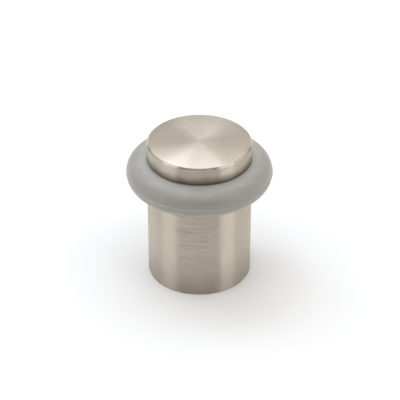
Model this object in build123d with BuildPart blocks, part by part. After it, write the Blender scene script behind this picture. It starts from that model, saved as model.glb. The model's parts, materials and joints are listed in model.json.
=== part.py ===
from build123d import *
import os
from math import cos, radians, sin, tan

# Floor door stop: a solid metal post, turned from bar, with a rubber buffer ring in a groove near its top.
# The post stands on a narrow rim round its recessed base, and a blind tapped hole in the base takes the stud
# that holds it down. The ring is pushed over the cap and springs into the groove, so that a door which swings
# open meets rubber and not metal.
#
# Frame: origin on the floor, in the middle of the base, with +Z up along the axis of the post. Millimetres.

# Post
post_diameter = 30.0
post_height = 43.0
top_edge_chamfer = 0.5
foot_edge_chamfer = 0.25

# Groove for the ring, below the cap
cap_height = 5.2
groove_width = 8.8
groove_depth = 3.0
groove_lip_chamfer = 0.15

# Buffer ring
ring_projection = 6.0
ring_flank_taper = 12.0
ring_top_gap = 0.2
ring_seat_clearance = 0.05
ring_inner_chamfer = 0.6

# Base, with its tapped hole
base_recess_diameter = 22.0
base_recess_depth = 0.8
thread_diameter = 8.0
thread_pitch = 1.25
thread_depth = 16.0
thread_countersink_margin = 0.5
drill_point_angle = 118.0

# Post sizes worked out from those above
post_radius = post_diameter / 2
groove_top = post_height - cap_height
groove_bottom = groove_top - groove_width
groove_radius = post_radius - groove_depth

# Ring sizes: the nose is the arc that both tapered flanks run into without a corner
ring_bottom = groove_bottom
ring_height = groove_width - ring_top_gap
ring_middle = ring_bottom + ring_height / 2
ring_top = ring_bottom + ring_height
ring_inner_radius = groove_radius + ring_seat_clearance
ring_outer_radius = post_radius + ring_projection
taper_cos = cos(radians(ring_flank_taper))
taper_sin = sin(radians(ring_flank_taper))
nose_radius = (taper_cos * ring_height / 2 - taper_sin * ring_projection) / (1 - taper_sin)
nose_angle = 180 - 2 * ring_flank_taper
flank_length = taper_cos * (ring_projection - nose_radius) + taper_sin * ring_height / 2

# Hole sizes
tap_drill_radius = (thread_diameter - thread_pitch) / 2
countersink_radius = (thread_diameter + thread_countersink_margin) / 2
drill_point_length = tap_drill_radius / tan(radians(drill_point_angle / 2))


def circles_at(part, height, radius):
    """The circular edges of a turned part at this height and radius."""
    rings = part.edges().filter_by(GeomType.CIRCLE)
    rings = rings.filter_by(lambda edge: abs(edge.radius - radius) < 1e-4)
    return rings.filter_by(lambda edge: abs(edge.center().Z - height) < 1e-4)


# Post: half its outline, turned about its axis
with BuildPart() as post:
    with BuildSketch(Plane.XZ) as post_outline:
        with BuildLine():
            Polyline(
                (0, 0),
                (post_radius, 0),
                (post_radius, groove_bottom),
                (groove_radius, groove_bottom),
                (groove_radius, groove_top),
                (post_radius, groove_top),
                (post_radius, post_height),
                (0, post_height),
                close=True,
            )
        make_face()
    revolve(axis=Axis.Z)

    # Eased edges: the rim of the cap, the lips of the groove, and the foot
    chamfer(circles_at(post, post_height, post_radius), top_edge_chamfer)
    for level in (groove_bottom, groove_top):
        chamfer(circles_at(post, level, post_radius), groove_lip_chamfer)
    chamfer(circles_at(post, 0, post_radius), foot_edge_chamfer)

    # Shallow recess under the base, so that the post stands on its rim
    with BuildSketch() as recess_outline:
        Circle(base_recess_diameter / 2)
    extrude(amount=base_recess_depth, mode=Mode.SUBTRACT)

    # Tapped hole at its drilled size, with a countersunk mouth and the point that the drill leaves
    with Locations(Plane(origin=(0, 0, base_recess_depth), z_dir=(0, 0, -1))):
        CounterSinkHole(tap_drill_radius, countersink_radius, depth=thread_depth, counter_sink_angle=90)
    with Locations((0, 0, base_recess_depth + thread_depth)):
        Cone(
            tap_drill_radius,
            0,
            drill_point_length,
            align=(Align.CENTER, Align.CENTER, Align.MIN),
            mode=Mode.SUBTRACT,
        )

# Buffer ring: flat sides inside the groove, then tapered flanks and a round nose
with BuildPart() as buffer_ring:
    with BuildSketch(Plane.XZ) as ring_section:
        with BuildLine():
            lower_flank = PolarLine((post_radius, ring_bottom), flank_length, ring_flank_taper)
            nose = JernArc(lower_flank @ 1, lower_flank % 1, nose_radius, nose_angle)
            Polyline(
                nose @ 1,
                (post_radius, ring_top),
                (ring_inner_radius, ring_top),
                (ring_inner_radius, ring_bottom),
                (post_radius, ring_bottom),
            )
        make_face()
    revolve(axis=Axis.Z)

    # Eased inner edges, which lead the ring over the cap
    for level in (ring_bottom, ring_top):
        chamfer(circles_at(buffer_ring, level, ring_inner_radius), ring_inner_chamfer)

os.makedirs("parts", exist_ok=True)
post.part.label = "post"
export_step(post.part, "parts/post.step")
buffer_ring.part.label = "buffer_ring"
export_step(buffer_ring.part, "parts/buffer_ring.step")
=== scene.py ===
# %% [markdown]
# # A floor door stop
#
# The stop is two real pieces: a metal post, turned on a lathe, and a grey rubber ring that sits in a
# groove near its top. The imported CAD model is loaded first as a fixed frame. Everything after it is
# looks: finer meshes for both pieces, the thread inside the base, their finishes, a pale floor and soft
# studio light.

# %% Load the frame
import json
import math

import bpy
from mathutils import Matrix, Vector


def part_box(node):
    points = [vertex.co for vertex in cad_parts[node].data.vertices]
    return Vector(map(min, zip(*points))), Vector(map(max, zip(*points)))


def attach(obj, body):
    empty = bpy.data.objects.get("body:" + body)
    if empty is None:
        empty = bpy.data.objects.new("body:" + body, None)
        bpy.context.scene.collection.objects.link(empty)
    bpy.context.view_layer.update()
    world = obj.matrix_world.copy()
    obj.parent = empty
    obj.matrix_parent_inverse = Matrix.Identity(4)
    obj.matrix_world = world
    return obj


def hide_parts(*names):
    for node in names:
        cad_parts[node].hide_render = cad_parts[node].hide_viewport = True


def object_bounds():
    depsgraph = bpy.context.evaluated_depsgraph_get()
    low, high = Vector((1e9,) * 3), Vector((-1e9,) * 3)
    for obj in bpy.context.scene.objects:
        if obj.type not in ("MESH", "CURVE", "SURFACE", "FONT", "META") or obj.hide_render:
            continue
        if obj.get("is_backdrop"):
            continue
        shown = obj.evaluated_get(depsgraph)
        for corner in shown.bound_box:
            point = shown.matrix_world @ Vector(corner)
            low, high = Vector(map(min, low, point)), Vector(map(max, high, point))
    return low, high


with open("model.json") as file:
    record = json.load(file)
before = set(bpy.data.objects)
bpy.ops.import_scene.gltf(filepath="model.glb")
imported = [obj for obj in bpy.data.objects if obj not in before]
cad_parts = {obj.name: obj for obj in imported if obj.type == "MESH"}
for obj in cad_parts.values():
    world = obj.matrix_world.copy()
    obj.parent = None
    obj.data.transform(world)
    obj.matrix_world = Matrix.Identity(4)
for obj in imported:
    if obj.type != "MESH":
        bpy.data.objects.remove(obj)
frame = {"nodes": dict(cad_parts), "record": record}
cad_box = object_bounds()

print("nodes:", sorted(frame["nodes"]))

# %% [markdown]
# ## Sizes
#
# Blender works in metres here, in the same frame as the CAD. The outer sizes are read from the two
# nodes, so the finer meshes can't drift away from the solids that they stand for. Sizes inside the
# groove and the base are the ones that the parts were drawn with.

# %% Read the sizes
MM = 0.001
post_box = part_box("post")
ring_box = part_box("buffer_ring")
post_radius = post_box[1].x
post_height = post_box[1].z
ring_reach = ring_box[1].x
ring_bottom = ring_box[0].z
ring_top = ring_box[1].z
ring_middle = (ring_bottom + ring_top) / 2
print(f"post {post_radius / MM:.3f} mm in radius and {post_height / MM:.3f} mm tall")
print(f"ring {ring_reach / MM:.3f} mm in radius, from {ring_bottom / MM:.3f} to {ring_top / MM:.3f} mm up")

# %% [markdown]
# ## Camera
#
# A product shot like this one is taken with a long lens from well back, which keeps the sides of the
# post almost parallel. The camera looks down at the stop by about a third of a right angle, so its top
# shows as an open oval. It could be set by eye, but the ovals of the top, the ring and the foot fix it:
# how open they are gives the angle, and how they differ gives the distance.

# %% Place the camera
lens_length = 150.0
camera_distance = 482.5 * MM
camera_elevation = math.radians(33.7)
aim_point = Vector((0.17 * MM, 0.0, 22.96 * MM))

scene = bpy.context.scene
camera_data = bpy.data.cameras.new("product_camera")
camera_data.lens = lens_length
camera_data.clip_start = 0.01
camera = bpy.data.objects.new("product_camera", camera_data)
scene.collection.objects.link(camera)
towards_camera = Vector((0.0, -math.cos(camera_elevation), math.sin(camera_elevation)))
camera.location = aim_point + camera_distance * towards_camera
camera.rotation_euler = (-towards_camera).to_track_quat("-Z", "Y").to_euler()
scene.camera = camera
scene.view_settings.view_transform = "Standard"
print("camera at", [round(value, 4) for value in camera.location])

# %% [markdown]
# ## Building with nodes
#
# Shaders and Geometry Nodes are both trees of nodes. A few small helpers keep the trees below short.
# One adds a node and fills its inputs, either with a plain value or with a link from another node. The
# others do sums, run a value from one level to another, mix two colours, and name the sockets of a
# group.

# %% Add a node
def put(tree, kind, inputs=None, **settings):
    """Adds a node with these settings, fills its inputs, and returns it."""
    node = tree.nodes.new(kind)
    for name, value in settings.items():
        setattr(node, name, value)
    for socket, value in (inputs or {}).items():
        if isinstance(value, bpy.types.NodeSocket):
            tree.links.new(value, node.inputs[socket])
        else:
            node.inputs[socket].default_value = value
    return node


# %% Sums
def calculate(tree, operation, *values):
    """The output of a Math node that works on these values or links."""
    return put(tree, "ShaderNodeMath", dict(enumerate(values)), operation=operation).outputs[0]


def vector_of(tree, operation, *values):
    """The vector that comes out of a Vector Math node."""
    return put(tree, "ShaderNodeVectorMath", dict(enumerate(values)), operation=operation).outputs[0]


def number_of(tree, operation, *vectors):
    """The number that comes out of a Vector Math node, such as a length."""
    node = put(tree, "ShaderNodeVectorMath", dict(enumerate(vectors)), operation=operation)
    return node.outputs["Value"]


# %% Ramps, mixes and sockets
def ramp(tree, value, start, end, first=0.0, last=1.0, kind="LINEAR"):
    """Runs from first to last while the value runs from start to end, and stays level on both sides."""
    inputs = {"Value": value, "From Min": start, "From Max": end, "To Min": first, "To Max": last}
    return put(tree, "ShaderNodeMapRange", inputs, interpolation_type=kind).outputs[0]


def mix_colours(tree, factor, first, second):
    """A colour between two others, plain or linked. A Mix node keeps its two colours on sockets 6 and 7."""
    inputs = {0: factor}
    for socket, colour in ((6, first), (7, second)):
        inputs[socket] = colour if isinstance(colour, bpy.types.NodeSocket) else (*colour, 1.0)
    return put(tree, "ShaderNodeMix", inputs, data_type="RGBA").outputs[2]


def name_sockets(tree, inputs, outputs):
    """Gives a node group its named inputs and outputs, each with its kind."""
    for name, kind in inputs:
        tree.interface.new_socket(name, in_out="INPUT", socket_type=kind)
    for name, kind in outputs:
        tree.interface.new_socket(name, in_out="OUTPUT", socket_type=kind)


# %% [markdown]
# Both pieces are round, so their finishes are best laid out round the axis. These helpers find the
# place of a point, the level way to it from the axis, its distance from the axis and its height.

# %% Round the axis
def place_in(tree):
    return put(tree, "ShaderNodeTexCoord").outputs["Object"]


def level_way(tree, place):
    return vector_of(tree, "MULTIPLY", place, (1, 1, 0))


def radius_at(tree, place):
    return number_of(tree, "LENGTH", level_way(tree, place))


def height_at(tree, place):
    return put(tree, "ShaderNodeSeparateXYZ", {0: place}).outputs["Z"]


# %% [markdown]
# ## Lathe lines
#
# The post was brushed while it turned, so its marks run round the axis: level lines on the side and
# circles on the top. An image wrapped round the post could show them, but it would have a seam, and it
# would blur close up. Here they come from noise. One number grows steadily along any turned outline, up
# the side and then in across the top: the height minus the radius. Noise that is read along that
# number, and only slowly round the axis, draws such marks on every face. The group gives two widths of
# line, because a brush leaves a fine grain and some broader streaks.

# %% Lathe lines group
def build_lathe_lines():
    tree = bpy.data.node_groups.new("Lathe lines", "ShaderNodeTree")
    number = "NodeSocketFloat"
    name_sockets(
        tree,
        [("Grain Width", number), ("Streak Width", number), ("Marks Per Turn", number)],
        [("Grain", number), ("Streaks", number), ("Radius", number)],
    )
    given = put(tree, "NodeGroupInput").outputs
    result = put(tree, "NodeGroupOutput").inputs
    place = place_in(tree)
    radius = radius_at(tree, place)
    along = calculate(tree, "SUBTRACT", height_at(tree, place), radius)
    heading = vector_of(tree, "NORMALIZE", level_way(tree, place))
    around = put(
        tree, "ShaderNodeVectorMath", {0: heading, "Scale": given["Marks Per Turn"]}, operation="SCALE"
    ).outputs[0]
    turned = put(tree, "ShaderNodeSeparateXYZ", {0: around}).outputs
    for width, line in (("Grain Width", "Grain"), ("Streak Width", "Streaks")):
        count = calculate(tree, "DIVIDE", along, given[width])
        point = put(tree, "ShaderNodeCombineXYZ", {0: turned["X"], 1: turned["Y"], 2: count}).outputs[0]
        noise = put(tree, "ShaderNodeTexNoise", {"Vector": point, "Scale": 1.0, "Detail": 2.0})
        tree.links.new(noise.outputs[0], result[line])
    tree.links.new(radius, result["Radius"])
    return tree


lathe_lines = build_lathe_lines()
print("shader group:", lathe_lines.name)

# %% [markdown]
# ## Signs of use and painted light
#
# Two more effects are shared by metal and rubber. Handling leaves soft clouds, a little lighter and
# darker, that only show in a long look. And a shade runs along an edge, such as the seam where the
# rubber meets the cap: it is strongest at one circle round the post and fades with the distance from
# it, a little unevenly. The finishes use it to paint shade into the colour at the seam and the foot,
# and to paint light onto the ring's shoulder. Both could be painted by hand. As groups they are built
# once, and each finish gives them its own sizes.

# %% Handling clouds group
noise_low = 0.3
noise_high = 0.7


def build_handling_clouds():
    tree = bpy.data.node_groups.new("Handling clouds", "ShaderNodeTree")
    name_sockets(tree, [("Size", "NodeSocketFloat")], [("Clouds", "NodeSocketFloat")])
    size = put(tree, "NodeGroupInput").outputs["Size"]
    scale = calculate(tree, "DIVIDE", 1.0, size)
    look_up = {"Vector": place_in(tree), "Scale": scale, "Detail": 3.0}
    noise = put(tree, "ShaderNodeTexNoise", look_up).outputs[0]
    put(tree, "NodeGroupOutput", {"Clouds": ramp(tree, noise, noise_low, noise_high)})
    return tree


handling_clouds = build_handling_clouds()
print("shader group:", handling_clouds.name)

# %% Edge shade group
unevenness_scale = 260.0


def build_edge_shade():
    tree = bpy.data.node_groups.new("Edge shade", "ShaderNodeTree")
    number = "NodeSocketFloat"
    name_sockets(
        tree, [("Edge Radius", number), ("Edge Height", number), ("Reach", number)], [("Shade", number)]
    )
    given = put(tree, "NodeGroupInput").outputs
    place = place_in(tree)
    outwards = calculate(tree, "SUBTRACT", radius_at(tree, place), given["Edge Radius"])
    upwards = calculate(tree, "SUBTRACT", height_at(tree, place), given["Edge Height"])
    from_edge = put(tree, "ShaderNodeCombineXYZ", {0: outwards, 2: upwards}).outputs[0]
    distance = number_of(tree, "LENGTH", from_edge)
    look_up = {"Vector": place, "Scale": unevenness_scale, "Detail": 2.0}
    uneven = put(tree, "ShaderNodeTexNoise", look_up).outputs[0]
    reach = calculate(tree, "MULTIPLY", given["Reach"], calculate(tree, "ADD", uneven, 0.5))
    put(tree, "NodeGroupOutput", {"Shade": ramp(tree, distance, 0.0, reach, 1.0, 0.0, "SMOOTHSTEP")})
    return tree


edge_shade = build_edge_shade()
print("shader group:", edge_shade.name)


# %% Where the effects go
def clouds_in(tree, size):
    """Soft clouds of about this size, from 0 to 1."""
    return put(tree, "ShaderNodeGroup", {"Size": size}, node_tree=handling_clouds).outputs["Clouds"]


def shade_near(tree, height, reach, strength):
    """A mask for painted shade and light along the circle round the post at this height, this strong there.
    """
    inputs = {"Edge Radius": post_radius, "Edge Height": height, "Reach": reach}
    shade = put(tree, "ShaderNodeGroup", inputs, node_tree=edge_shade).outputs["Shade"]
    return calculate(tree, "MULTIPLY", shade, strength)


# %% [markdown]
# ## Brushed metal
#
# The marks could be cut into the mesh, but they are finer than a hair, and what shows is their effect
# on light. Brushed metal spreads light across its marks and hardly at all along them. The Principled
# shader does this with its anisotropic setting. The Tangent node's radial mode runs round the axis with
# the marks, and a quarter turn of the anisotropy spreads the gloss across them.
#
# The faces aren't all equally rough. The side was brushed coarsely, the top more finely, and most
# finely at its middle, where a brush hardly moves over it. The bevel between them was cut last by a
# sharp tool, so it mirrors the room well. The radius tells all of these apart. On the side, the streaks
# are rougher and smoother by turns, so they show most where the metal mirrors something dark.

# %% Find the faces
rim_chamfer = 0.5 * MM
side_margin = 0.015 * MM


def find_faces(tree, radius):
    """Two switches: one is on from the bevel outwards, and one is on for the side alone."""
    on_rim = calculate(tree, "GREATER_THAN", radius, post_radius - rim_chamfer)
    on_side = calculate(tree, "GREATER_THAN", radius, post_radius - side_margin)
    return on_rim, on_side


print(f"bevel {rim_chamfer / MM:.2f} mm wide")

# %% Roughness of each face
middle_reach = 6 * MM
middle_polish = 0.10
streak_low = 0.42
streak_high = 0.58
streak_roughness = 0.065


def metal_roughness(tree, lines, on_rim, on_side, top, rim, side):
    """The roughness of each face, from the plain values of the top, the bevel and the side."""
    smoother = ramp(tree, lines["Radius"], 0.0, middle_reach, top - middle_polish, top, "SMOOTHSTEP")
    rough = calculate(tree, "MULTIPLY_ADD", on_rim, rim - top, smoother)
    smooth_streak = side - rim - streak_roughness
    rough_streak = side - rim + streak_roughness
    streaked = ramp(tree, lines["Streaks"], streak_low, streak_high, smooth_streak, rough_streak)
    return calculate(tree, "MULTIPLY_ADD", on_side, streaked, rough)


# %% [markdown]
# The tone of bare metal is even. Streaks and clouds change it a little, the streaks more so on the
# side. A dark colour is mixed in as painted shade: strongly at the seam under the cap, where the ring
# and the cap shade each other, and far more faintly towards the foot, which mirrors the shadowed floor
# beside it.

# %% Metal tone
top_streakiness = 0.25
side_streakiness = 0.70
metal_cloud_size = 5 * MM
# Painted shade: this dark colour is mixed into the metal at the seam under the cap and near the foot, and
# into the rubber at the seam.
painted_shade_colour = (0.075, 0.06, 0.05)
metal_seam_shade_reach = 3.6 * MM
metal_seam_shade_strength = 0.82
foot_shade_reach = 13 * MM
foot_shade_strength = 0.26


def metal_colour(tree, streaks, on_side, colour, tone_change):
    more_on_side = side_streakiness - top_streakiness
    streakiness = calculate(tree, "MULTIPLY_ADD", on_side, more_on_side, top_streakiness)
    spread = ramp(tree, streaks, noise_low, noise_high)
    clouds = clouds_in(tree, metal_cloud_size)
    tone = put(tree, "ShaderNodeMix", {0: streakiness, 2: clouds, 3: spread}).outputs[0]
    darker = [value * (1 - tone_change) for value in colour]
    lighter = [value * (1 + tone_change) for value in colour]
    unshaded_tone = mix_colours(tree, tone, darker, lighter)
    # Painted shade at the seam under the cap and, faintly, near the foot.
    painted_seam_shade = shade_near(tree, ring_top, metal_seam_shade_reach, metal_seam_shade_strength)
    painted_foot_shade = shade_near(tree, 0.0, foot_shade_reach, foot_shade_strength)
    return mix_colours(tree, calculate(tree, "MAXIMUM", painted_seam_shade, painted_foot_shade), unshaded_tone, painted_shade_colour)


# How far the painted shade reaches from the seam and from the foot.
print(f"dirt within {metal_seam_shade_reach / MM:.1f} mm of the seam and {foot_shade_reach / MM:.0f} mm of the foot")

# %% [markdown]
# The grain tilts the surface very slightly. A turning tool also leaves every circle on the top leaning
# a little outwards, more so towards the rim. That is far too fine to model, but it is why the near side
# of the top is the brightest, so the same bump carries it as a height that falls with the radius.

# %% Metal relief
lean_growth = 1.4
grain_depth = 0.0004 * MM


def metal_height(tree, lines, rim_lean):
    """The relief, with the top leaning outwards by this many degrees at its rim."""
    rim_fall = post_radius * math.tan(math.radians(rim_lean)) / (lean_growth + 1)
    outwards = calculate(tree, "DIVIDE", lines["Radius"], post_radius)
    fall = calculate(tree, "MULTIPLY", calculate(tree, "POWER", outwards, lean_growth + 1), rim_fall)
    return calculate(tree, "SUBTRACT", calculate(tree, "MULTIPLY", lines["Grain"], grain_depth), fall)


print(f"grain {grain_depth / MM:.4f} mm deep")

# %% Satin metal finish
brush_marks = {"Grain Width": 0.10 * MM, "Streak Width": 0.33 * MM, "Marks Per Turn": 0.9}
quarter_turn = 0.25


def satin_metal(name, colour, tone_change, roughness, anisotropy, rim_lean):
    material = bpy.data.materials.new(name)
    material.use_nodes = True
    tree = material.node_tree
    shader = tree.nodes["Principled BSDF"]
    shader.inputs["Metallic"].default_value = 1.0
    shader.inputs["Anisotropic"].default_value = anisotropy
    shader.inputs["Anisotropic Rotation"].default_value = quarter_turn
    lines = put(tree, "ShaderNodeGroup", brush_marks, node_tree=lathe_lines).outputs
    on_rim, on_side = find_faces(tree, lines["Radius"])
    rough = metal_roughness(tree, lines, on_rim, on_side, *roughness)
    tree.links.new(rough, shader.inputs["Roughness"])
    tone = metal_colour(tree, lines["Streaks"], on_side, colour, tone_change)
    tree.links.new(tone, shader.inputs["Base Color"])
    height = metal_height(tree, lines, rim_lean)
    bump = put(tree, "ShaderNodeBump", {"Height": height, "Strength": 1.0, "Distance": 1.0})
    tree.links.new(bump.outputs[0], shader.inputs["Normal"])
    tangent = put(tree, "ShaderNodeTangent", direction_type="RADIAL", axis="Z")
    tree.links.new(tangent.outputs[0], shader.inputs["Tangent"])
    return material


metal_tone = (0.585, 0.520, 0.437)
post_finish = satin_metal(
    "satin_post_metal",
    metal_tone,
    tone_change=0.07,
    roughness=(0.283, 0.183, 0.38),
    anisotropy=1.0,
    rim_lean=11.0,
)
thread_finish = satin_metal(
    "tapped_thread_metal",
    metal_tone,
    tone_change=0.04,
    roughness=(0.3, 0.3, 0.3),
    anisotropy=0.5,
    rim_lean=0.0,
)
print("finishes:", post_finish.name, "and", thread_finish.name)

# %% [markdown]
# ## A lathe made of nodes
#
# Both pieces are solids of revolution: half an outline, swept once round the axis. A Screw modifier
# could sweep them, but a tree with named inputs serves both pieces and shows each step. It starts from
# a grid of points. Each row of the grid copies one point of the outline, and each column turns the copy
# a little further. Welding the points that meet closes the seam and the poles. Edges that bend sharply
# stay crisp, and the rest is shaded smooth.

# %% Turned points
def turned_points(tree, outline, steps):
    """A grid whose rows copy the points of an outline, and whose columns turn the copies round the axis."""
    rows = put(tree, "GeometryNodeAttributeDomainSize", {"Geometry": outline}).outputs["Point Count"]
    columns = calculate(tree, "ADD", steps, 1)
    grid = put(tree, "GeometryNodeMeshGrid", {"Vertices X": columns, "Vertices Y": rows}).outputs["Mesh"]
    index = put(tree, "GeometryNodeInputIndex").outputs[0]
    row = calculate(tree, "FLOORED_MODULO", index, rows)
    column = calculate(tree, "FLOOR", calculate(tree, "DIVIDE", index, rows))
    angle = calculate(tree, "DIVIDE", calculate(tree, "MULTIPLY", column, math.tau), steps)
    position = put(tree, "GeometryNodeInputPosition").outputs[0]
    copied = {"Geometry": outline, "Value": position, "Index": row}
    point = put(tree, "GeometryNodeSampleIndex", copied, data_type="FLOAT_VECTOR").outputs[0]
    turned = put(tree, "ShaderNodeVectorRotate", {"Vector": point, "Angle": angle}, rotation_type="Z_AXIS")
    placed = {"Geometry": grid, "Position": turned.outputs[0]}
    return put(tree, "GeometryNodeSetPosition", placed).outputs[0]


def end_tree(tree, shape, finish):
    """Ends a tree: a plain mesh, with its finish, goes to the output."""
    plain = put(tree, "GeometryNodeRealizeInstances", {"Geometry": shape}).outputs[0]
    finished = put(tree, "GeometryNodeSetMaterial", {"Geometry": plain, "Material": finish}).outputs[0]
    put(tree, "NodeGroupOutput", {"Geometry": finished})


# %% Turned solid tree
def build_turned_solid():
    tree = bpy.data.node_groups.new("Turned solid", "GeometryNodeTree")
    name_sockets(
        tree,
        [
            ("Outline", "NodeSocketObject"),
            ("Steps", "NodeSocketInt"),
            ("Weld Distance", "NodeSocketFloat"),
            ("Crisp Above", "NodeSocketFloat"),
            ("Finish", "NodeSocketMaterial"),
        ],
        [("Geometry", "NodeSocketGeometry")],
    )
    given = put(tree, "NodeGroupInput").outputs
    outline = put(tree, "GeometryNodeObjectInfo", {"Object": given["Outline"]}).outputs["Geometry"]
    shape = turned_points(tree, outline, given["Steps"])
    welded = {"Geometry": shape, "Distance": given["Weld Distance"]}
    shape = put(tree, "GeometryNodeMergeByDistance", welded).outputs[0]
    bend = put(tree, "GeometryNodeInputMeshEdgeAngle").outputs["Unsigned Angle"]
    gentle = calculate(tree, "LESS_THAN", bend, given["Crisp Above"])
    shape = put(tree, "GeometryNodeSetShadeSmooth", {"Geometry": shape}, domain="FACE").outputs[0]
    smoothed = {"Geometry": shape, "Shade Smooth": gentle}
    shape = put(tree, "GeometryNodeSetShadeSmooth", smoothed, domain="EDGE").outputs[0]
    end_tree(tree, shape, given["Finish"])
    return tree


turned_solid = build_turned_solid()
print("tree:", turned_solid.name)


# %% Run a tree
def grow(name, tree, values):
    """Runs a Geometry Nodes tree with these inputs, and makes its result an object with a plain mesh."""
    maker = bpy.data.objects.new(name + "_maker", bpy.data.meshes.new(name + "_maker"))
    scene.collection.objects.link(maker)
    modifier = maker.modifiers.new("nodes", "NODES")
    modifier.node_group = tree
    for socket in tree.interface.items_tree:
        if socket.in_out == "INPUT":
            modifier[socket.identifier] = values[socket.name]
    depsgraph = bpy.context.evaluated_depsgraph_get()
    mesh = bpy.data.meshes.new_from_object(maker.evaluated_get(depsgraph))
    bpy.data.objects.remove(maker)
    mesh.name = name
    piece = bpy.data.objects.new(name, mesh)
    scene.collection.objects.link(piece)
    print(f"{name}: {len(mesh.vertices)} points, {len(mesh.polygons)} faces")
    return piece


# %% Turn an outline
turn_steps = 256
weld_distance = 0.001 * MM
crisp_above = math.radians(25)


def turn(name, outline, finish):
    """Turns an outline of (radius, height) points, with the solid on its left, into that solid."""
    points = [(radius, 0.0, height) for radius, height in outline]
    edges = [(start, start + 1) for start in range(len(points) - 1)]
    mesh = bpy.data.meshes.new(name + "_outline")
    mesh.from_pydata(points, edges, [])
    half = bpy.data.objects.new(name + "_outline", mesh)
    scene.collection.objects.link(half)
    values = {
        "Outline": half,
        "Steps": turn_steps,
        "Weld Distance": weld_distance,
        "Crisp Above": crisp_above,
        "Finish": finish,
    }
    piece = grow(name, turned_solid, values)
    bpy.data.objects.remove(half)
    return piece


# %% [markdown]
# ## The post
#
# The post is one bar of metal. It could be a cylinder with cuts, but a turner thinks in outlines, and
# so does the tree above. The outline starts at the tip of the drilled hole and runs down the hole,
# across the recessed base, up the side past the groove, over the bevelled rim and in to the middle of
# the top. Only the foot of the cap is rounded, with an arc. The arc has a near neighbour on the flat at
# each end, which keeps the flats' shading flat.

# %% Sizes of the hole
recess_radius = 11.0 * MM
recess_depth = 0.8 * MM
thread_pitch = 1.25 * MM
drill_point_angle = math.radians(118)
mouth_margin = 0.25 * MM
untapped_turns = 2

thread = next(mount for mount in frame["record"]["mounts"] if mount["name"] == "floor_thread")
drill_radius = thread["dims"]["r_mm"] * MM
thread_middle = thread["pos_m"][2]
thread_length = thread["dims"]["length_mm"] * MM
drill_end = thread_middle + thread_length / 2
drill_point = drill_radius / math.tan(drill_point_angle / 2)
thread_radius = drill_radius + thread_pitch / 2
mouth_radius = thread_radius + mouth_margin
tapped_end = drill_end - untapped_turns * thread_pitch
print(f"hole drilled {drill_end / MM:.2f} mm deep, tapped to {tapped_end / MM:.2f} mm")

# %% Post outline
groove_depth = 3.0 * MM
lip = 0.15 * MM
ring_top_gap = 0.2 * MM
groove_bottom = ring_bottom
groove_top = ring_top + ring_top_gap
cap_foot_radius = 0.3 * MM
cap_foot_steps = 14
foot_chamfer = 0.25 * MM
guard = 0.04 * MM


def arc(centre, radius, start, end, steps):
    """Points on an arc in the plane of radius and height, with its angles in degrees."""
    points = []
    for step in range(steps + 1):
        angle = math.radians(start + (end - start) * step / steps)
        points.append((centre[0] + radius * math.cos(angle), centre[1] + radius * math.sin(angle)))
    return points


groove_radius = post_radius - groove_depth
cap_foot_centre = (post_radius - cap_foot_radius, groove_top + cap_foot_radius)
post_outline = [
    (0.0, drill_end + drill_point),
    (drill_radius, drill_end),
    (drill_radius, tapped_end),
    (thread_radius, tapped_end - (thread_radius - drill_radius)),
    (thread_radius, recess_depth + mouth_radius - thread_radius),
    (mouth_radius, recess_depth),
    (recess_radius, recess_depth),
    (recess_radius, 0.0),
    (post_radius - foot_chamfer, 0.0),
    (post_radius, foot_chamfer),
    (post_radius, groove_bottom - lip),
    (post_radius - lip, groove_bottom),
    (groove_radius, groove_bottom),
    (groove_radius, groove_top),
    (post_radius - cap_foot_radius - guard, groove_top),
    *arc(cap_foot_centre, cap_foot_radius, -90, 0, cap_foot_steps),
    (post_radius, groove_top + cap_foot_radius + guard),
    (post_radius, post_height - rim_chamfer),
    (post_radius - rim_chamfer, post_height),
    (0.0, post_height),
]
post_piece = turn("turned_post", post_outline, post_finish)

# %% [markdown]
# ## The thread
#
# A tap cuts a helical groove into the drilled wall and leaves a helical ridge standing. Rings, one
# above the other, would look much the same, but a thread has a slope. The ridge is a path with a
# constant section, which is what Curve to Mesh is for: a spiral of one pitch per turn, swept with a
# four-cornered profile, fading out at both ends as a real thread does.

# %% Thread path and section
root_share = 0.875
crest_share = 0.25


def thread_path(tree, given):
    spiral = {
        "Resolution": given["Steps Per Turn"],
        "Rotations": given["Turns"],
        "Start Radius": given["Radius"],
        "End Radius": given["Radius"],
        "Height": calculate(tree, "MULTIPLY", given["Turns"], given["Pitch"]),
    }
    path = put(tree, "GeometryNodeCurveSpiral", spiral).outputs[0]
    return put(tree, "GeometryNodeSetCurveNormal", {"Curve": path}, mode="Z_UP").outputs[0]


def thread_section(tree, given):
    """A section that is centred on the path, so its outer half lies inside the metal."""
    sides = {
        "Height": calculate(tree, "MULTIPLY", given["Depth"], 2.0),
        "Bottom Width": calculate(tree, "MULTIPLY", given["Pitch"], root_share),
        "Top Width": calculate(tree, "MULTIPLY", given["Pitch"], crest_share),
        "Offset": 0.0,
    }
    return put(tree, "GeometryNodeCurvePrimitiveQuadrilateral", sides, mode="TRAPEZOID").outputs[0]


# %% Thread ends
smallest_size = 0.02


def thread_size(tree, given):
    """Full size along the thread, fading out at both of its ends."""
    done = put(tree, "GeometryNodeSplineParameter").outputs["Factor"]
    left = calculate(tree, "SUBTRACT", 1.0, done)
    nearest = calculate(tree, "MINIMUM", done, left)
    turns_in = calculate(tree, "MULTIPLY", nearest, given["Turns"])
    size = calculate(tree, "MINIMUM", 1.0, calculate(tree, "DIVIDE", turns_in, given["Fade Turns"]))
    return calculate(tree, "MAXIMUM", size, smallest_size)


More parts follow.
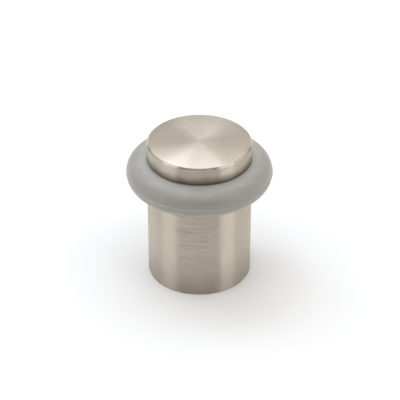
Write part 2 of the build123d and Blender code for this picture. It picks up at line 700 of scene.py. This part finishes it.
# %% Thread tree
def build_cut_thread():
    tree = bpy.data.node_groups.new("Cut thread", "GeometryNodeTree")
    number = "NodeSocketFloat"
    name_sockets(
        tree,
        [
            ("Turns", number),
            ("Pitch", number),
            ("Radius", number),
            ("Depth", number),
            ("Start Height", number),
            ("Fade Turns", number),
            ("Steps Per Turn", "NodeSocketInt"),
            ("Finish", "NodeSocketMaterial"),
        ],
        [("Geometry", "NodeSocketGeometry")],
    )
    given = put(tree, "NodeGroupInput").outputs
    swept = {
        "Curve": thread_path(tree, given),
        "Profile Curve": thread_section(tree, given),
        "Scale": thread_size(tree, given),
        "Fill Caps": True,
    }
    shape = put(tree, "GeometryNodeCurveToMesh", swept).outputs[0]
    lift = put(tree, "ShaderNodeCombineXYZ", {2: given["Start Height"]}).outputs[0]
    shape = put(tree, "GeometryNodeSetPosition", {"Geometry": shape, "Offset": lift}).outputs[0]
    end_tree(tree, shape, given["Finish"])
    return tree


cut_thread = build_cut_thread()
print("tree:", cut_thread.name)

# %% Thread piece
thread_start = recess_depth + 0.5 * thread_pitch
thread_turns = (tapped_end - thread_start) / thread_pitch
thread_piece = grow(
    "floor_thread",
    cut_thread,
    {
        "Turns": thread_turns,
        "Pitch": thread_pitch,
        "Radius": thread_radius,
        "Depth": thread_radius - drill_radius,
        "Start Height": thread_start,
        "Fade Turns": 0.75,
        "Steps Per Turn": 48,
        "Finish": thread_finish,
    },
)

# %% [markdown]
# ## Rubber
#
# The ring is moulded rubber: matt, evenly grey, with a very fine grain and a faint velvety sheen at a
# glance along it. Its colour is painted paler towards the cap, as painted light on the shoulder that
# faces the lamps overhead, and painted darker right at the seam, as painted shade under the cap. Round
# the nose a thin pale line is a painted highlight on the ridge that the halves of the mould left,
# plainest on one side. All of this depends on where a point lies on the ring, so it is worked out from
# its place and not from an image.

# %% Mould ridge highlight
line_core = 0.06 * MM
line_edge = 0.20 * MM
plain_side = (-0.8, -0.6, 0.0)
plain_from = 0.2 * ring_reach
plain_at = 0.9 * ring_reach
faint_strength = 0.05
plain_strength = 0.40


def mould_ridge_highlight(tree, line_height):
    """A thin painted highlight along the mould ridge at this height, strongest on one side."""
    place = place_in(tree)
    above_line = calculate(tree, "SUBTRACT", height_at(tree, place), line_height)
    line = ramp(tree, calculate(tree, "ABSOLUTE", above_line), line_core, line_edge, 1.0, 0.0)
    sideways = number_of(tree, "DOT_PRODUCT", level_way(tree, place), plain_side)
    strength = ramp(tree, sideways, plain_from, plain_at, faint_strength, plain_strength)
    return calculate(tree, "MULTIPLY", line, strength)


# %% Rubber tone
# Painted light: the pale colour brightens the shoulder near the cap and the mould ridge.
pale_colour = (0.60, 0.58, 0.55)
rubber_cloud_size = 6 * MM
rubber_tone_change = 0.04
painted_light_reach = 4.6 * MM
painted_light_strength = 0.48
seam_shade_reach = 0.2 * MM
seam_shade_strength = 0.4


def rubber_colour(tree, colour):
    darker = [value * (1 - rubber_tone_change) for value in colour]
    lighter = [value * (1 + rubber_tone_change) for value in colour]
    even = mix_colours(tree, clouds_in(tree, rubber_cloud_size), darker, lighter)
    # Painted light: the shoulder near the cap is mixed towards the pale colour.
    painted_light = shade_near(tree, ring_top, painted_light_reach, painted_light_strength)
    with_painted_light = mix_colours(tree, painted_light, even, pale_colour)
    # Painted highlight along the mould ridge.
    lined = mix_colours(tree, mould_ridge_highlight(tree, ring_middle), with_painted_light, pale_colour)
    # Painted shade at the seam under the cap.
    seam_shade = shade_near(tree, ring_top, seam_shade_reach, seam_shade_strength)
    return mix_colours(tree, seam_shade, lined, painted_shade_colour)


# %% Rubber finish
rubber_grain_scale = 9000.0
rubber_grain_depth = 0.01 * MM
ring_colour = (0.262, 0.245, 0.216)


def moulded_rubber(name, colour):
    material = bpy.data.materials.new(name)
    material.use_nodes = True
    tree = material.node_tree
    shader = tree.nodes["Principled BSDF"]
    shader.inputs["Roughness"].default_value = 0.5
    shader.inputs["Specular IOR Level"].default_value = 0.8
    shader.inputs["Sheen Weight"].default_value = 0.4
    shader.inputs["Sheen Roughness"].default_value = 0.5
    tree.links.new(rubber_colour(tree, colour), shader.inputs["Base Color"])
    look_up = {"Vector": place_in(tree), "Scale": rubber_grain_scale, "Detail": 2.0}
    grain = put(tree, "ShaderNodeTexNoise", look_up).outputs[0]
    bump = put(tree, "ShaderNodeBump", {"Height": grain, "Strength": 1.0, "Distance": rubber_grain_depth})
    tree.links.new(bump.outputs[0], shader.inputs["Normal"])
    return material


ring_finish = moulded_rubber("matt_ring_rubber", ring_colour)
print("finish:", ring_finish.name)

# %% [markdown]
# ## The ring
#
# A flattened torus would come near to the ring, but it couldn't lie flat in the groove. So the ring is
# turned from its section, as the post is. The section is flat where it lies in the groove. Outside the
# post it swells into a nose: half an ellipse, made a little fuller at the shoulders by raising both of
# its coordinates to a power. A fullness of two would be a plain ellipse. Round the nose runs the fine
# ridge that the two halves of the mould leave, and that ridge alone reaches as far out as the solid.

# %% Ring outline
seat_clearance = 0.05 * MM
inner_chamfer = 0.6 * MM
ridge_height = 0.12 * MM
ridge_half_width = 0.18 * MM
fullness = 2.3
nose_steps = 22

seat_radius = groove_radius + seat_clearance
half_height = (ring_top - ring_bottom) / 2
nose_reach = ring_reach - post_radius - ridge_height
ridge_angle = math.degrees(math.asin(ridge_half_width / half_height))


def nose(start, end, steps):
    """Points on the outside of the ring, between two angles in degrees from its middle."""
    points = []
    for step in range(steps + 1):
        angle = math.radians(start + (end - start) * step / steps)
        out = abs(math.cos(angle)) ** (2 / fullness)
        up = math.copysign(abs(math.sin(angle)) ** (2 / fullness), angle)
        points.append((post_radius + nose_reach * out, ring_middle + half_height * up))
    return points


ring_outline = [
    (seat_radius + inner_chamfer, ring_bottom),
    *nose(-90, -ridge_angle, nose_steps),
    (ring_reach, ring_middle - ridge_half_width / 3),
    (ring_reach, ring_middle + ridge_half_width / 3),
    *nose(ridge_angle, 90, nose_steps),
    (seat_radius + inner_chamfer, ring_top),
    (seat_radius, ring_top - inner_chamfer),
    (seat_radius, ring_bottom + inner_chamfer),
    (seat_radius + inner_chamfer, ring_bottom),
]
ring_piece = turn("rubber_ring", ring_outline, ring_finish)
print(f"ridge {ridge_height / MM:.2f} mm high round the nose")

# %% [markdown]
# ## Floor
#
# The floor is a plain pale sheet, wide enough to fill the picture and to light the underside of the
# ring. Near the stop it is a real floor, which carries a shadow. Further off it would show where the
# light of each lamp ends, so plain white takes over there, in what the camera sees and in what the
# metal mirrors. It lights nothing else.

# %% Floor
floor_colour = (0.85, 0.84, 0.83)
floor_half = 3.0
white_from = 0.35
white_at = 0.55

floor_mesh = bpy.data.meshes.new("floor")
corners = [(x * floor_half, y * floor_half, 0.0) for x, y in ((-1, -1), (1, -1), (1, 1), (-1, 1))]
floor_mesh.from_pydata(corners, [], [(0, 1, 2, 3)])
floor = bpy.data.objects.new("floor", floor_mesh)
scene.collection.objects.link(floor)
floor_finish = bpy.data.materials.new("pale_floor")
floor_finish.use_nodes = True
floor_tree = floor_finish.node_tree
floor_shader = floor_tree.nodes["Principled BSDF"]
floor_shader.inputs["Base Color"].default_value = (*floor_colour, 1)
floor_shader.inputs["Roughness"].default_value = 1.0
floor_shader.inputs["Specular IOR Level"].default_value = 0.0
print(f"floor {2 * floor_half:.0f} m wide")

# %% White further off
rays = put(floor_tree, "ShaderNodeLightPath").outputs
mirrored = calculate(floor_tree, "MAXIMUM", rays["Is Glossy Ray"], rays["Is Transmission Ray"])
seen = calculate(floor_tree, "MAXIMUM", rays["Is Camera Ray"], mirrored)
radius = radius_at(floor_tree, place_in(floor_tree))
far = ramp(floor_tree, radius, white_from, white_at)
white = put(floor_tree, "ShaderNodeEmission", {"Color": (1, 1, 1, 1), "Strength": 1.0}).outputs[0]
share = calculate(floor_tree, "MULTIPLY", far, seen)
blend = put(floor_tree, "ShaderNodeMixShader", {0: share, 1: floor_shader.outputs[0], 2: white}).outputs[0]
floor_tree.links.new(blend, floor_tree.nodes["Material Output"].inputs["Surface"])
floor_mesh.materials.append(floor_finish)
floor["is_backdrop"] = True
print(f"floor white beyond {white_at / MM:.0f} mm")

# %% [markdown]
# ## Light
#
# Upright strips at the front left and right draw the pale bands on the post, and low boxes beside them
# carry those bands round the sides. Three boxes hang over and behind the stop, where its top mirrors
# them. They are a little cooler than the rest, like daylight. One more hangs above the camera for the
# near shoulder of the ring. A picture of a studio could light all this at once, but lamps can be moved
# one at a time, and each shows what it does. A lamp's brightness is what it looks like from the stop,
# so each box can change size without a new setting.

# %% Soft boxes
plain_tint = (1.0, 1.0, 1.0)
cool_tint = (0.88, 1.0, 1.16)


def soft_box(name, centre, facing, width, height, brightness, tint):
    """A rectangular lamp that looks this bright, whatever its size."""
    lamp = bpy.data.lights.new(name, "AREA")
    lamp.shape = "RECTANGLE"
    lamp.size = width
    lamp.size_y = height
    lamp.energy = brightness * math.pi * width * height
    lamp.color = tint
    box = bpy.data.objects.new(name, lamp)
    scene.collection.objects.link(box)
    box.location = centre
    box.rotation_euler = Vector(facing).to_track_quat("-Z", "Y").to_euler()
    box.visible_camera = False


soft_box("left_strip", (-0.580, -0.282, 0.16), (0.580, 0.282, 0), 0.36, 0.32, 1.28, plain_tint)
soft_box("right_strip", (0.556, -0.326, 0.16), (-0.556, 0.326, 0), 0.36, 0.32, 1.72, plain_tint)
soft_box("left_box", (-0.65, 0.12, 0.16), (1, 0, 0), 0.70, 0.32, 0.16, plain_tint)
soft_box("right_box", (0.65, 0.12, 0.16), (-1, 0, 0), 0.70, 0.32, 0.26, plain_tint)
soft_box("front_box", (0.0, -0.25, 0.76), (0.0, 0.25, -0.72), 0.50, 0.24, 1.9, plain_tint)
soft_box("back_left_box", (-0.411, 0.288, 0.628), (0.411, -0.288, -0.598), 0.34, 0.72, 1.34, cool_tint)
soft_box("high_box", (-0.106, 0.325, 0.731), (0.106, -0.325, -0.701), 0.56, 0.34, 1.4, cool_tint)
soft_box("high_right_box", (0.338, 0.195, 0.706), (-0.338, -0.195, -0.676), 0.34, 0.42, 0.35, cool_tint)

# %% [markdown]
# Round the boxes hangs white cloth, like a tent that is open towards the camera, and the world plays
# its part. A direction is split into its heading, from the front, and its rise. Between two headings
# the tent is open: dark low down, and closing towards the top. That draws the calm dark band down the
# middle of the post. The cloth itself darkens towards its foot, so the far edges of the cap don't
# glare.

# %% Tent
tent_strength = 1.15
cloth_colour = (1.0, 1.0, 1.0)
opening_colour = (0.20, 0.19, 0.17)
opening_heading = math.radians(-2.5)
opening_half_width = math.radians(46.5)
opening_edge = math.radians(0.7)
opening_closes = (math.radians(31.5), math.radians(83))
cloth_brightens = (math.radians(5.7), math.radians(40))
cloth_foot = 0.04

world = bpy.data.worlds.new("tent")
world.use_nodes = True
scene.world = world
tent = world.node_tree
background = tent.nodes["Background"]
direction = put(tent, "ShaderNodeTexCoord").outputs["Generated"]
axes = put(tent, "ShaderNodeSeparateXYZ", {0: direction}).outputs
heading = calculate(tent, "ARCTAN2", axes["X"], calculate(tent, "MULTIPLY", axes["Y"], -1.0))
rise = calculate(tent, "ARCSINE", axes["Z"])
off_middle = calculate(tent, "ABSOLUTE", calculate(tent, "SUBTRACT", heading, opening_heading))
beside = ramp(tent, off_middle, opening_half_width - opening_edge, opening_half_width + opening_edge)
above = ramp(tent, rise, *opening_closes)
lit = ramp(tent, rise, *cloth_brightens, cloth_foot, 1.0)
cloth = calculate(tent, "MULTIPLY", calculate(tent, "MAXIMUM", beside, above), lit)
tent.links.new(mix_colours(tent, cloth, opening_colour, cloth_colour), background.inputs["Color"])
background.inputs["Strength"].default_value = tent_strength
print("tent open for", round(math.degrees(2 * opening_half_width)), "degrees")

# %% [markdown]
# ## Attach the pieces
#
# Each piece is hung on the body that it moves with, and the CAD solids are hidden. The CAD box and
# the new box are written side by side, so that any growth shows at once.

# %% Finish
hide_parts("post")
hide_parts("buffer_ring")
for piece, slot in ((post_piece, "post_metal"), (thread_piece, "post_metal"), (ring_piece, "ring_rubber")):
    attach(piece, "root")

boxes = {"cad": cad_box, "visual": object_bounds()}
for name, box in boxes.items():
    print(name, "box in mm:", [[round(value / MM, 3) for value in corner] for corner in box])
